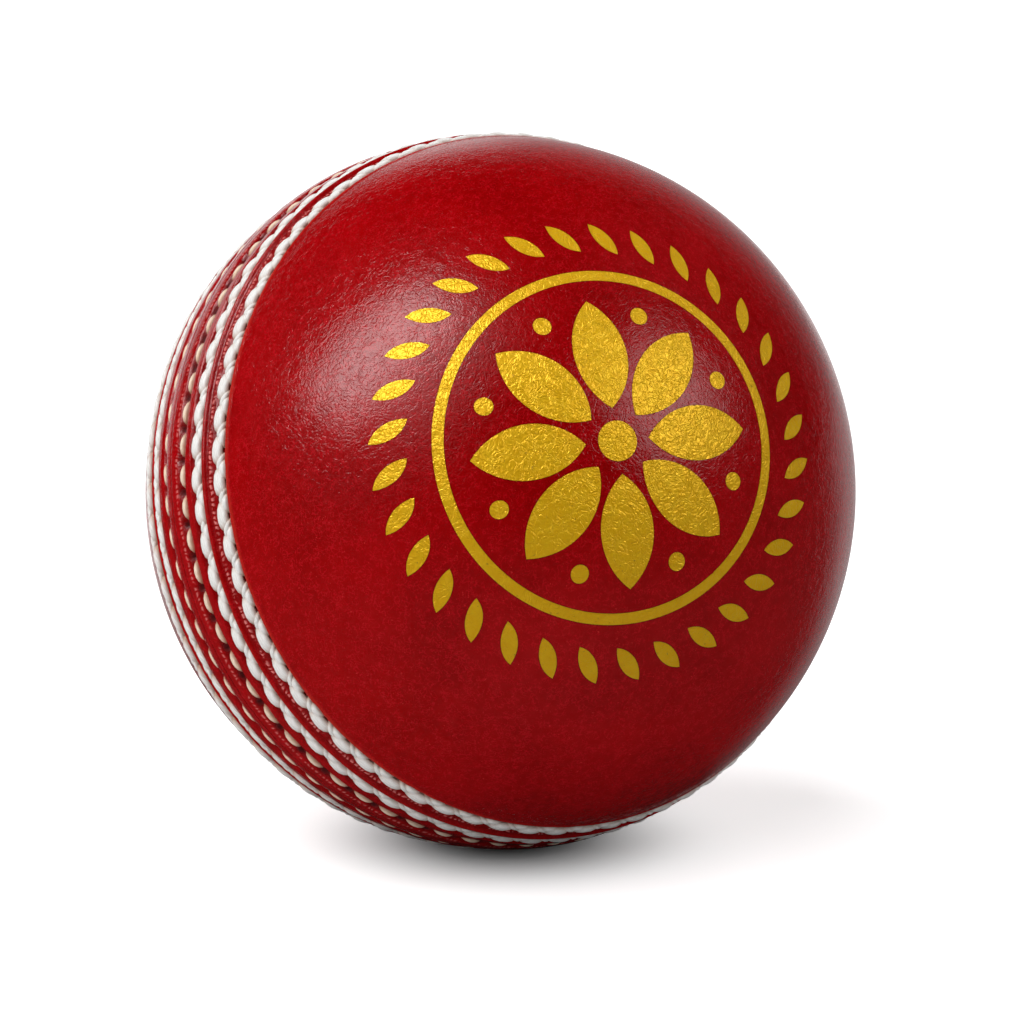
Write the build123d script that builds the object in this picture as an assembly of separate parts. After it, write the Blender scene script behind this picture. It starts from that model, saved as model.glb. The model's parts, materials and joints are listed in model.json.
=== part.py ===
"""Cricket ball: a wound cork and yarn core inside two sewn leather cups, in millimetres.

The ball lies at rest with its centre on the origin and +Z up. Its seam runs round a tilted
circle, and the axis of that circle points at the stamped crown: forwards (-Y) and up.
Every piece is drawn upright, with the seam level and the stamped crown on top, and is tipped
into its resting attitude as it is written.
"""

from build123d import *
import math
import os

# Ball
ball_radius = 36.0  # to the crown of the leather, which makes the ball 226 mm round
seam_lean = 17.3  # rise of the seam's axis above the level, in degrees

# Leather cups
leather_thickness = 4.0
seam_gap = 0.06  # between the lips of the two cups
layer_gap = 0.05  # between one layer of the ball and the next

# Relief of the seam, from the joint outwards, as widths along the surface and heights over it
ridge_width = 1.0
ridge_height = 0.35
ridge_margin = 0.25  # between the ridge and the closing groove
welt_width = 1.85
welt_height = 0.20
rope_groove_width = 2.0
bead_width = 0.80
bead_height = 0.28
valley_width = 0.95
valley_depth = 0.15

# Stitches: a closing row and two rope rows on each side of the joint
closing_stitches = 72
rope_stitches = 70
thread_diameter = 0.70
thread_bend = 0.50  # radius of the thread's own line where it turns into the leather
thread_clearance = 0.05
awl_clearance = 0.03
rope_rise = 0.50  # top of a rope stitch over the ball
closing_sink = 0.40  # top of a closing stitch under the ball

# Lining band glued inside each cup under the rope stitches
lining_thickness = 1.30
lining_margin = 3.25  # past the outer rope row
lining_setback = 0.50  # from the joint to the edge of the band

# Wound core, from the outermost winding inwards
wound_layers = 5
winding_thickness = 2.60
cork_thickness = 1.80
strips_per_layer = 6
strip_gap = 0.60
strip_end_latitude = 78.0
layer_turn = 72.0  # each cork layer is laid across the one beneath it

# Gold foil ornament pressed into the front crown
foil_thickness = 0.06
foil_depth = 0.08  # from the crown down to the foil's underside
foil_edge_gap = 0.03
boss_radius = 1.90
petal_count = 8
petal_root = 3.10
petal_tip = 13.60
petal_width = 5.20
bud_radius = 0.85
bud_circle = 12.60
ring_radius = 16.20
ring_width = 1.00
leaf_count = 32
leaf_circle = 20.30
leaf_length = 3.90
leaf_width = 1.50
leaf_slant = 38.0
stamp_offset = 11.0  # from the top of the crown to the middle of the ornament, in degrees

thread_radius = thread_diameter / 2
thread_room = thread_radius + thread_clearance
leg_offset = thread_room  # from an awl hole's middle to each leg in it
awl_half_width = thread_radius + awl_clearance
awl_reach = leg_offset + awl_half_width  # half the width that a pair of legs takes up
rope_half = rope_groove_width / 2
closing_row = ridge_width + ridge_margin + thread_room
middle_row = closing_row + thread_room + welt_width + rope_half
outer_row = middle_row + rope_half + bead_width + valley_width + rope_half
lining_width = outer_row + rope_half + lining_margin
cup_inside = ball_radius - leather_thickness
lining_top = cup_inside + lining_thickness
recess_radius = lining_top + layer_gap
rope_line = ball_radius + rope_rise - thread_radius
rope_floor = rope_line - thread_room
closing_line = ball_radius - closing_sink - thread_radius
inner_line = cup_inside + thread_radius
channel_top = inner_line + thread_room
lip = seam_gap / 2


def polar(radius, latitude):
    """Point of the upright half section at a radius and a latitude over the joint."""
    angle = math.radians(latitude)
    return (radius * math.cos(angle), radius * math.sin(angle))


def latitude_of(distance):
    """Latitude of a line that keeps a distance from the joint along the surface."""
    return math.degrees(distance / ball_radius)


def on_ball(distance, height=0.0):
    """Point of the section by its distance from the joint and its height over the ball."""
    return polar(ball_radius + height, latitude_of(distance))


def level_point(radius, height):
    """Point of the section at a radius from the centre and a height over the joint."""
    return (math.sqrt(radius**2 - height**2), height)


def revolved(edges, degrees=360.0):
    """Solid turned about the upright axis from the edges of a closed half section."""
    return revolve(Plane.XZ * make_face(edges), Axis.Z, degrees)


def shell(outer, inner):
    return Sphere(outer) - Sphere(inner)


def around(count, piece, start=0.0):
    """Copies of a piece at even steps round the upright axis."""
    return [Rot(Z=start + 360 * number / count) * piece for number in range(count)]


# ---------------------------------------------------------------- wound core


def cork_strips(outer, inner, turn):
    """Curved cork strips side by side round one layer of the core."""
    end = strip_end_latitude
    section = [
        level_arc(inner, -end, end),
        radial_line(inner, outer, end),
        level_arc(outer, end, -end),
        radial_line(outer, inner, -end),
    ]
    sweep_angle = 360 / strips_per_layer - math.degrees(strip_gap / outer)
    strip = revolved(section, sweep_angle)
    return [Rot(X=turn) * piece for piece in around(strips_per_layer, strip)]


def wound_core():
    """The core and its layers by name, worked from the outermost winding inwards."""
    pieces = {}
    outer = cup_inside - layer_gap
    for layer in range(wound_layers, 0, -1):
        inner = outer - winding_thickness
        pieces[f"yarn_winding_{layer}"] = [shell(outer, inner)]
        outer = inner - layer_gap
        inner = outer - cork_thickness
        pieces[f"cork_strips_{layer}"] = cork_strips(outer, inner, layer_turn * layer)
        outer = inner - layer_gap
    pieces["cork_core"] = [Sphere(outer)]
    return pieces


# ---------------------------------------------------------------- leather cups


def swell(start, end, height):
    """Arc over the surface from one distance to another, raised or sunk in its middle."""
    return ThreePointArc(on_ball(start), on_ball((start + end) / 2, height), on_ball(end))


def level_arc(radius, start, end):
    """Arc about the ball's centre from one latitude to another."""
    return CenterArc((0, 0), radius, start, end - start)


def radial_line(start, end, latitude):
    """Line straight in or out from one radius to another."""
    return Line(polar(start, latitude), polar(end, latitude))


def channel(outside, floor, row):
    """Flat-bottomed channel along a rope row, entered and left at the same radius."""
    near = latitude_of(row - rope_half)
    far = latitude_of(row + rope_half)
    return [
        radial_line(outside, floor, near),
        level_arc(floor, near, far),
        radial_line(floor, outside, far),
    ]


def closing_groove():
    """Square groove that the closing stitches lie in."""
    near = on_ball(closing_row - thread_room)
    far = on_ball(closing_row + thread_room)
    floor = closing_line - thread_room
    return [
        Line(near, (floor, near[1])),
        Line((floor, near[1]), (floor, far[1])),
        Line((floor, far[1]), far),
    ]


def cup_outside():
    """Edges of the section from the lip over the seam's relief to the top of the crown."""
    shoulder = on_ball(ridge_width * 0.75, ridge_height * 0.7)
    bead_start = middle_row + rope_half
    bead_end = bead_start + bead_width
    return [
        ThreePointArc(level_point(ball_radius + ridge_height, lip), shoulder, on_ball(ridge_width)),
        Line(on_ball(ridge_width), on_ball(closing_row - thread_room)),
        *closing_groove(),
        swell(closing_row + thread_room, middle_row - rope_half, welt_height),
        *channel(ball_radius, rope_floor, middle_row),
        swell(bead_start, bead_end, bead_height),
        swell(bead_end, outer_row - rope_half, -valley_depth),
        *channel(ball_radius, rope_floor, outer_row),
        level_arc(ball_radius, latitude_of(outer_row + rope_half), 90),
    ]


def cup_inner_side():
    """Edges of the section down the axis, along the inside and out over the lining's recess."""
    band = latitude_of(lining_width)
    lip_latitude = math.degrees(math.asin(lip / recess_radius))
    return [
        Line((0, ball_radius), (0, cup_inside)),
        level_arc(cup_inside, 90, band),
        radial_line(cup_inside, recess_radius, band),
        level_arc(recess_radius, band, lip_latitude),
        Line(polar(recess_radius, lip_latitude), level_point(ball_radius + ridge_height, lip)),
    ]


def rope_holes(row):
    """Awl holes square to the surface along one row, each for a leg of each of two stitches."""
    x, z = polar(1, latitude_of(row))
    middle = (rope_line + inner_line) / 2
    plane = Plane(origin=(x * middle, 0, z * middle), x_dir=(0, 1, 0), z_dir=(x, 0, z))
    hole = extrude(plane * Circle(awl_reach), rope_line - middle, both=True)
    return around(rope_stitches, hole, start=180 / rope_stitches)


def closing_holes():
    """Awl slots from groove to groove through both lips, each as wide as two legs."""
    height = on_ball(closing_row)[1]
    plane = Plane(origin=(closing_line, 0, 0), x_dir=(0, 1, 0), z_dir=(0, 0, 1))
    slot = extrude(plane * SlotOverall(2 * awl_reach, 2 * awl_half_width), height, both=True)
    return around(closing_stitches, slot, start=180 / closing_stitches)


def leather_cup():
    """Cup with its awl holes."""
    cup = revolved(cup_outside() + cup_inner_side())
    return cup - (rope_holes(middle_row) + rope_holes(outer_row) + closing_holes())


def lining():
    """Leather band inside a cup, with a channel under each row of rope stitches."""
    start = latitude_of(lining_setback)
    end = latitude_of(lining_width - layer_gap)
    band = revolved(
        [
            radial_line(lining_top, cup_inside, start),
            level_arc(cup_inside, start, latitude_of(middle_row - rope_half)),
            *channel(cup_inside, channel_top, middle_row),
            level_arc(
                cup_inside, latitude_of(middle_row + rope_half), latitude_of(outer_row - rope_half)
            ),
            *channel(cup_inside, channel_top, outer_row),
            level_arc(cup_inside, latitude_of(outer_row + rope_half), end),
            radial_line(cup_inside, lining_top, end),
            level_arc(lining_top, end, start),
        ]
    )
    return band - (rope_holes(middle_row) + rope_holes(outer_row))


# ---------------------------------------------------------------- threads


def thread_loop(plane, corners):
    """Closed loop of thread whose line turns round the given corners in a plane."""
    line = plane * FilletPolyline(*corners, radius=thread_bend, close=True)
    section = Plane(origin=line @ 0, z_dir=line % 0) * Circle(thread_radius)
    return sweep(section, line)


def half_span(radius, count):
    """Half the length of a stitch at a radius from the upright axis."""
    return radius * math.sin(math.pi / count) - leg_offset


def rope_row(row):
    """One stitch for each step of a rope row: over the leather, in, under the lining, out."""
    x, z = polar(1, latitude_of(row))
    plane = Plane(origin=(0, 0, 0), x_dir=(0, 1, 0), z_dir=(z, 0, -x))
    top = half_span(rope_line * x, rope_stitches)
    foot = half_span(inner_line * x, rope_stitches)
    corners = [(-top, rope_line), (top, rope_line), (foot, inner_line), (-foot, inner_line)]
    return around(rope_stitches, thread_loop(plane, corners))


def closing_rows():
    """Stitches that close the seam: each runs along both grooves and through both lips."""
    height = on_ball(closing_row)[1]
    plane = Plane(origin=(closing_line, 0, 0), x_dir=(0, 1, 0), z_dir=(1, 0, 0))
    span = half_span(closing_line, closing_stitches)
    corners = [(-span, height), (span, height), (span, -height), (-span, -height)]
    return around(closing_stitches, thread_loop(plane, corners))


# ---------------------------------------------------------------- foil ornament


def leaf(length, width):
    """Pointed leaf with two round sides, along X about its middle."""
    tip = (length / 2, 0)
    stem = (-length / 2, 0)
    return make_face(
        [ThreePointArc(stem, (0, width / 2), tip), ThreePointArc(tip, (0, -width / 2), stem)]
    )


def ornament(margin=0.0):
    """Rosette of petals and buds in a ring and a wreath, each shape grown by a margin."""
    grown = 2 * margin
    petal_middle = (petal_root + petal_tip) / 2
    petal = Pos(X=petal_middle) * leaf(petal_tip - petal_root + grown, petal_width + grown)
    bud = Pos(X=bud_circle) * Circle(bud_radius + margin)
    half_ring = ring_width / 2 + margin
    ring = Circle(ring_radius + half_ring) - Circle(ring_radius - half_ring)
    wreath_leaf = Pos(X=leaf_circle) * Rot(Z=leaf_slant) * leaf(leaf_length + grown, leaf_width + grown)
    return [
        Circle(boss_radius + margin),
        ring,
        *around(petal_count, petal),
        *around(petal_count, bud, start=180 / petal_count),
        *around(leaf_count, wreath_leaf),
    ]


def pressed(shapes, outer, inner):
    """The shapes as solids of the front crown between two radii, beside the top of the crown."""
    skin = shell(outer, inner)
    return [Rot(Y=-stamp_offset) * (extrude(shape, 2 * ball_radius) & skin) for shape in shapes]


def foil():
    underside = ball_radius - foil_depth
    return pressed(ornament(), underside + foil_thickness, underside)


def stamped_cup():
    """Front cup, with the recesses that the foil is pressed into."""
    recesses = pressed(ornament(foil_edge_gap), ball_radius + foil_depth, ball_radius - foil_depth)
    return leather_cup() - recesses


# ---------------------------------------------------------------- the whole ball


def turned_over(pieces):
    """Pieces of the front half turned over into the back half."""
    return [Rot(X=180) * piece for piece in pieces]


def write(name, pieces):
    """One file of a node's solids, tipped from the upright into the resting attitude."""
    lean = Rot(X=90 - seam_lean)
    solids = [lean * solid for piece in pieces for solid in piece.solids()]
    export_step(Compound(children=solids), f"parts/{name}.step")


def main():
    os.makedirs("parts", exist_ok=True)
    middle = rope_row(middle_row)
    outer = rope_row(outer_row)
    band = [lining()]
    nodes = {
        **wound_core(),
        "front_cup": [stamped_cup()],
        "back_cup": turned_over([leather_cup()]),
        "front_lining": band,
        "back_lining": turned_over(band),
        "closing_thread": closing_rows(),
        "front_middle_thread": middle,
        "front_outer_thread": outer,
        "back_middle_thread": turned_over(middle),
        "back_outer_thread": turned_over(outer),
        "gold_foil": foil(),
    }
    for name, pieces in nodes.items():
        write(name, pieces)


main()
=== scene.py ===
import json
import math

import bpy
import numpy as np
from mathutils import Matrix, Vector
from mathutils.geometry import delaunay_2d_cdt


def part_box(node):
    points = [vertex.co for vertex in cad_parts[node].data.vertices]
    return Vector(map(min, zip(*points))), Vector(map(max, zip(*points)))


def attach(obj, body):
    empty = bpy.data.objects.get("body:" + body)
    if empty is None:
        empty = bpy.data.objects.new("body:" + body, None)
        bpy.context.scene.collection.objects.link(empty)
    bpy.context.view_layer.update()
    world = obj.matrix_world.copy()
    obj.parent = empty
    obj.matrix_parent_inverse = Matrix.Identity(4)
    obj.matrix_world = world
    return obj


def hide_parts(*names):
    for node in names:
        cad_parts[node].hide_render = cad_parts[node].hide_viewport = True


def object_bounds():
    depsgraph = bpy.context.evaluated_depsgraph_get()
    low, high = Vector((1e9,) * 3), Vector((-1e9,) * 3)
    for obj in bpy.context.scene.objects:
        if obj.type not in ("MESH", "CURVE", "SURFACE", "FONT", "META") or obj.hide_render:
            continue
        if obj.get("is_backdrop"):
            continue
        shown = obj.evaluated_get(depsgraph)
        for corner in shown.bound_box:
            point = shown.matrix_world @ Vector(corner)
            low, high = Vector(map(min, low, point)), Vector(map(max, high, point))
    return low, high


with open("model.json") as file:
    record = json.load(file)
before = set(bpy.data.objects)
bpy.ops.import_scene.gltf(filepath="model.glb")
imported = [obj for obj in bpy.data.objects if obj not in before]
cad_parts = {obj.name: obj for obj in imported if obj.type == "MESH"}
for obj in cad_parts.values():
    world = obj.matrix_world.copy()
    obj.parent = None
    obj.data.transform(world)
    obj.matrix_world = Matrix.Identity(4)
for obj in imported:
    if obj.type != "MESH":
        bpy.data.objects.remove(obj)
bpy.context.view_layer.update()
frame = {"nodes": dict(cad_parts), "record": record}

# Sizes are in millimetres. The sewn pieces are drawn upright, with the seam level and the
# stamped crown on top, and are tipped and scaled into the resting ball at the end.
MM = 0.001
seam_lean = 17.3
leather_radius = min(-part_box("front_cup")[0].y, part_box("back_cup")[1].y) / MM
core_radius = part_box("yarn_winding_5")[1].z / MM
lining_radius = 33.35  # inside of the cups over the lining bands
lining_edge = 12.95  # from the joint to the far edge of the lining bands
flesh_radius = 34.80  # halfway down the leather's cut lip
core_gap = 0.05  # between a cup and the core
resting = Matrix.Rotation(math.radians(90 - seam_lean), 4, "X") @ Matrix.Scale(MM, 4)
turned_over = Matrix.Rotation(math.pi, 4, "X")

# Seeds of what hand work leaves uneven; a row of stitches adds its number to its side's
cup_seeds = {"front": 11, "back": 47}
stitch_seeds = {"front": 3, "back": 8}

# Seam, as distances from the joint along the surface and heights over the ball
lip = 0.03  # half the gap that the cups leave at the joint
front_ridge = 1.45
back_ridge = 1.75
ridge_height = 0.36
ridge_roundness = 0.42  # power of its cross section, squarer as it gets smaller
joint_width = 0.06
joint_depth = 0.06
foot_shade = 0.10, 0.15  # its reach to each side of the ridge's foot
ridge_line = 1.05  # line of painted glints on the ridge's shoulder
closing_row = 2.00
closing_half = 0.42
closing_depth = 0.30
welt_start = 2.62
welt_slope = 0.35, 0.45  # its reach to each side of the start
welt_height = 0.20
welt_end = 3.80, 4.00
middle_row = 4.90
outer_row = 8.52
rope_half = 0.97
rope_depth = 0.32
channel_trim = 0.10  # the channel's far edge is this much inside the rope's
hug = 0.05  # that edge follows the stitches by this much
hug_at = 0.15  # along a stitch, to where that edge is furthest out
bead_end = 6.38
bead_height = 0.27
valley_depth = 0.15
pucker = 6.95  # middle of the puckered line beside the outer rope
pucker_height = 0.13
pucker_half = 0.22
gather_depth = 0.09
rim_height = 0.06
rim_width = 0.45
band_end = 10.40
crown_edge = band_end + 0.50  # where the finely drawn band has run out into the crown

# Stitches
rope_stitches = 70
closing_stitches = 72
outer_phase = 0.65
middle_phase = 0.36
closing_phase = 0.12
hole_at = 0.52  # along a rope stitch, to its awl hole
hole_out = 0.78  # across a rope row, to its awl hole
hole_depth = 0.20
notch_in = 0.42  # across a rope row, to the notch between two stitches
notch_depth = 0.15
gap_in = 0.22  # from the closing row towards the ridge, to the hole between two stitches
gap_depth = 0.40
rope_sunk = 0.08  # middle of the rope rows under the ball's surface
closing_sunk = 0.10
looseness = 0.05  # how far each stitch strays from an even one
hole_half = 0.30, 0.14  # half widths along and across the row
notch_half = 0.26, 0.20
gap_half = 0.30, 0.40

# Tone of the sewn leather, from -1 dark to 1 light: below 0 painted shade in its hollows, holes
# and notches, above 0 lighter on the raised bead and rim
joint_tone = -0.50
foot_tone = -0.35  # at the foot of the ridge
groove_tone = -0.40
gap_tone = -1.20
channel_tone = -0.45
hole_tone = -0.75
notch_tone = -0.80
bead_tone = 0.15
valley_tone = -0.30
rim_tone = 0.55
pressed_tone = -0.60  # painted shade under the gold, fading out over its pressed edge
# painted shade all over the cut lip and the inner side of a cup
unseen_tone = -1.00

# Gold ornament
stamp_offset = math.radians(11.0)
foil_depth = 0.08
foil_thickness = 0.05
foil_gap = 0.005  # between the foil and its pressed bed
pressed_edge = 0.10
boss_radius = 1.90
petal_count = 8
petal_root = 3.10
petal_tip = 13.60
petal_width = 5.20
bud_radius = 0.85
bud_circle = 12.60
ring_radius = 16.20
ring_width = 1.00
leaf_count = 32
leaf_circle = 20.30
leaf_length = 3.90
leaf_width = 1.50
leaf_slant = math.radians(38.0)

# Mesh steps
seam_columns = 12 * rope_stitches
seam_step = 0.13
crown_columns = seam_columns // 3
crown_step = 0.75
inner_columns = crown_columns // 2
inner_rows = 22
lining_rows = 6
boss_points = 36  # on each outline of the ornament
petal_points = 22
bud_points = 20
leaf_points = 14
ring_points = 150


# ---------------- Helpers


def new_object(name, data):
    """An object in the scene."""
    made = bpy.data.objects.new(name, data)
    bpy.context.scene.collection.objects.link(made)
    return made


def coat(mesh, material):
    """Gives a mesh one material."""
    mesh.materials.clear()
    mesh.materials.append(material)


def add(tree, kind, inputs=None, **settings):
    """A new node with its settings made and its inputs set or linked, by name or number."""
    made = tree.nodes.new(kind)
    for key, value in settings.items():
        setattr(made, key, value)
    for key, value in (inputs or {}).items():
        if isinstance(value, bpy.types.NodeSocket):
            tree.links.new(value, made.inputs[key])
        else:
            made.inputs[key].default_value = value
    return made


def maths(tree, operation, *values):
    """Output of a math node on sockets or numbers."""
    return add(tree, "ShaderNodeMath", dict(enumerate(values)), operation=operation).outputs[0]


def plus(tree, first, second):
    return maths(tree, "ADD", first, second)


def times(tree, first, second):
    return maths(tree, "MULTIPLY", first, second)


def vector_maths(tree, operation, *values):
    """Output of a vector math node on sockets or vectors."""
    made = add(tree, "ShaderNodeVectorMath", dict(enumerate(values)), operation=operation)
    return made.outputs["Vector"]


def combined(tree, x, y, z):
    return add(tree, "ShaderNodeCombineXYZ", {0: x, 1: y, 2: z}).outputs[0]


def components(tree, vector):
    return add(tree, "ShaderNodeSeparateXYZ", {0: vector}).outputs


def reach_along(tree, vector, direction):
    """How far a vector reaches along a fixed direction."""
    inputs = {0: vector, 1: tuple(direction)}
    return add(tree, "ShaderNodeVectorMath", inputs, operation="DOT_PRODUCT").outputs["Value"]


def length_of(tree, vector):
    return add(tree, "ShaderNodeVectorMath", {0: vector}, operation="LENGTH").outputs["Value"]


# ---------------- Leather cups


def rise(x, start, end):
    """Smooth step from 0 at the start to 1 at the end."""
    share = np.clip((x - start) / (end - start), 0, 1)
    return share * share * (3 - 2 * share)


def strip(x, near, far, soft):
    """1 between near and far, fading over a soft edge on each side."""
    begun = rise(x, near - soft / 2, near + soft / 2)
    return begun * (1 - rise(x, far - soft / 2, far + soft / 2))


def dimple(x, y, half_x, half_y):
    """1 in the middle of a round dimple, fading to 0 past its half widths."""
    return np.exp(-((x / half_x) ** 2) - (y / half_y) ** 2)


def wander(angle, seed, slowest=3, fastest=60):
    """Uneven wave of about -1 to 1 round the seam, as hand work leaves."""
    chance = np.random.default_rng(seed)
    waves = 9
    total = 0
    for _ in range(waves):
        turns = int(slowest * (fastest / slowest) ** chance.random())
        total = total + np.sin(turns * angle + chance.random() * 2 * math.pi)
    return total / math.sqrt(waves)


def along_stitch(angle, count, phase):
    """Share of a stitch's pitch, from -0.5 to 0.5 about the start of the nearest stitch."""
    place = angle * count / (2 * math.pi) - phase
    return place - np.round(place)


def rope_channel(across, angle, row, phase, seed):
    """Height and painted shade of the leather round one rope row, in its channel, awl holes and
    notches, drawn in towards each awl hole.
    """
    follow = np.cos(2 * math.pi * along_stitch(angle, rope_stitches, phase + hug_at))
    far = row + rope_half - channel_trim + hug * follow + 0.03 * wander(angle, seed)
    near = row - rope_half + 0.05 * wander(angle, seed + 1)
    channel = strip(across, near, far, soft=0.16)
    pitch = 2 * math.pi * leather_radius / rope_stitches
    from_hole = along_stitch(angle, rope_stitches, phase + hole_at) * pitch
    hole = dimple(from_hole, across - row - hole_out, *hole_half)
    from_notch = along_stitch(angle, rope_stitches, phase) * pitch
    notch = dimple(from_notch, across - row + notch_in, *notch_half)
    depth = rope_depth * channel + hole_depth * hole + notch_depth * notch
    return -depth, channel_tone * channel + hole_tone * hole + notch_tone * notch


def seam_relief(across, angle, seed, ridge_width):
    """Height over the ball, tone with painted shade in its hollows, and painted glints of the sewn
    leather.
    """
    foot = ridge_width * (1 + 0.05 * wander(angle, seed))
    height = ridge_height * np.clip(1 - (across / foot) ** 2, 0, 1) ** ridge_roundness
    joint = dimple(across, 0, joint_width, 1) * (0.6 + 0.4 * wander(angle, seed + 5, 20, 200))
    height = height - joint_depth * joint
    shade = strip(across, foot - foot_shade[0], foot + foot_shade[1], soft=0.2)
    # painted shade in the joint and at the ridge's foot
    tone = joint_tone * joint + foot_tone * shade

    pitch = 2 * math.pi * leather_radius / closing_stitches
    between = along_stitch(angle, closing_stitches, closing_phase) * pitch
    gap = dimple(between, across - closing_row + gap_in, *gap_half)
    groove = strip(across, closing_row - closing_half, closing_row + closing_half, soft=0.22)
    height = height - closing_depth * groove - gap_depth * gap
    # painted shade in the closing groove and in the holes between its stitches
    tone = tone + groove_tone * groove + gap_tone * gap

    welt_foot = welt_start + 0.07 * wander(angle, seed + 2)
    welt = rise(across, welt_foot - welt_slope[0], welt_foot + welt_slope[1])
    welt = welt * (1 - rise(across, *welt_end))
    height = height + welt_height * welt * (1 + 0.15 * wander(angle, seed + 3))
    middle_height, middle_tone = rope_channel(across, angle, middle_row, middle_phase, seed + 4)
    outer_height, outer_tone = rope_channel(across, angle, outer_row, outer_phase, seed + 6)

    bead_start = middle_row + rope_half
    bead = strip(across, bead_start, bead_end + 0.06 * wander(angle, seed + 8), soft=0.35)
    valley = strip(across, bead_end, outer_row - rope_half, soft=0.20)
    gathers = wander(angle, seed + 1, 60, 400)
    puckered = across - pucker - gather_depth * gathers
    drawn_in = pucker_height * dimple(0, puckered, 1, pucker_half) * (1 + 0.35 * gathers)
    rim_start = outer_row + rope_half - 0.08
    rim_stop = rim_start + rim_width + 0.08 * wander(angle, seed + 9)
    rim = strip(across, rim_start, rim_stop, soft=0.3)
    height = height + bead_height * bead - valley_depth * valley + drawn_in + rim_height * rim
    # painted shade in the valley; lighter on the raised bead and rim
    tone = tone + valley_tone * valley + bead_tone * bead + rim_tone * rim
    height = height + middle_height + outer_height
    # painted glints along the puckered line and the ridge's shoulder
    flecks = dimple(0, puckered, 1, 0.19) + 0.7 * dimple(0, across - ridge_line, 1, 0.11)
    return height, np.clip(tone + middle_tone + outer_tone, -1, 1), flecks


def on_sphere(radius, latitude, angle):
    """Points at a radius, a latitude over the seam and an angle round it, as rows of x, y, z."""
    level = radius * np.cos(latitude)
    places = level * np.cos(angle), level * np.sin(angle), radius * np.sin(latitude)
    return np.stack(np.broadcast_arrays(*places), -1)


def bridge(near, far):
    """Faces between a ring of vertices and one with as many or a whole part as many."""
    step = len(near) // len(far)
    middle = step // 2
    faces = []
    for number, corner in enumerate(far):
        other = far[(number + 1) % len(far)]
        span = [near[(number * step + k) % len(near)] for k in range(step + 1)]
        if step == 1:
            faces.append((span[0], span[1], other, corner))
            continue
        faces += [(span[k], span[k + 1], corner if k < middle else other) for k in range(step)]
        faces.append((corner, span[middle], other))
    return faces


def even_angles(count):
    return np.arange(count) * 2 * math.pi / count


class Skin:
    """Vertices, faces, tone (mostly painted shade) and painted glints of one leather cup while it
    is drawn.
    """

    def __init__(self):
        self.points, self.tones, self.flecks, self.round, self.faces = [], [], [], [], []

    def ring(self, points, tones, flecks=None, shaded_round=False):
        """Adds vertices, shaded as on an unmarked ball if asked, and gives their numbers."""
        start, count = len(self.points), len(points)
        self.points += list(points)
        self.tones += list(tones)
        self.flecks += list(np.zeros(count) if flecks is None else flecks)
        self.round += [shaded_round] * count
        return list(range(start, start + count))

    def mesh(self, name):
        made = bpy.data.meshes.new(name)
        made.from_pydata([tuple(p) for p in self.points], [], self.faces)
        for title, values in (("tone", self.tones), ("flecks", self.flecks)):
            marks = made.attributes.new(title, "FLOAT", "POINT")
            marks.data.foreach_set("value", np.array(values, np.float32))
        made.shade_smooth()
        facing = np.empty((len(self.points), 3), np.float32)
        made.vertex_normals.foreach_get("vector", facing.ravel())
        outward = np.array(self.points)
        outward = outward / np.linalg.norm(outward, axis=1, keepdims=True)
        facing = np.where(np.array(self.round)[:, None], outward, facing)
        made.normals_split_custom_set_from_vertices(facing)
        return made


def unrolled(points):
    """Points of the crown laid flat round its top, true to their distance from it."""
    points = points / np.linalg.norm(points, axis=1, keepdims=True)
    down = np.arccos(np.clip(points[:, 2], -1, 1)) * leather_radius
    angle = np.arctan2(points[:, 1], points[:, 0])
    return np.stack([down * np.cos(angle), down * np.sin(angle)], -1)


def rolled(flat, radius):
    """Points of the crown at their radius from their flat places."""
    down = np.hypot(flat[:, 0], flat[:, 1])
    angle = np.arctan2(flat[:, 1], flat[:, 0])
    return on_sphere(radius, math.pi / 2 - down / leather_radius, angle)


def leaf_outline(length, width, points):
    """Outline of a pointed leaf with two round sides, along X about its middle."""
    bow = (length**2 / width + width) / 4
    reach = math.asin(length / 2 / bow)
    turn = np.linspace(-reach, reach, points)[:-1]
    side = np.stack([bow * np.sin(turn), bow * np.cos(turn) - bow + width / 2], -1)
    return np.concatenate([side[::-1], -side[::-1]])[::-1]


def circle_outline(radius, points):
    angle = even_angles(points)
    return radius * np.stack([np.cos(angle), np.sin(angle)], -1)


def spread_round(outline, distance, count, start=0.0, slant=0.0):
    """Copies of an outline at even steps round the middle, each slanted about its own middle."""
    copies = []
    for number in range(count):
        turn = start + 2 * math.pi * number / count
        tilt = turn + slant
        spin = np.array([[math.cos(tilt), math.sin(tilt)], [-math.sin(tilt), math.cos(tilt)]])
        copies.append(outline @ spin + distance * np.array([math.cos(turn), math.sin(turn)]))
    return copies


def ornament(margin=0.0):
    """Outlines of the gold ornament, grown by a margin."""
    grown = 2 * margin
    petal = leaf_outline(petal_tip - petal_root + grown, petal_width + grown, petal_points)
    leaf = leaf_outline(leaf_length + grown, leaf_width + grown, leaf_points)
    bud = circle_outline(bud_radius + margin, bud_points)
    half_ring = ring_width / 2 + margin
    return [
        circle_outline(boss_radius + margin, boss_points),
        *spread_round(petal, (petal_root + petal_tip) / 2, petal_count),
        *spread_round(bud, bud_circle, petal_count, start=math.pi / petal_count),
        *spread_round(leaf, leaf_circle, leaf_count, slant=leaf_slant),
        circle_outline(ring_radius + half_ring, ring_points),
        circle_outline(ring_radius - half_ring, ring_points),
    ]


def stamped(outline):
    """An outline of the ornament as flat places on the crown."""
    x, y = outline[:, 0], outline[:, 1]
    z = np.sqrt(leather_radius**2 - x**2 - y**2)
    across = x * math.cos(stamp_offset) - z * math.sin(stamp_offset)
    up = x * math.sin(stamp_offset) + z * math.cos(stamp_offset)
    return unrolled(np.stack([across, y, up], -1))


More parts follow.
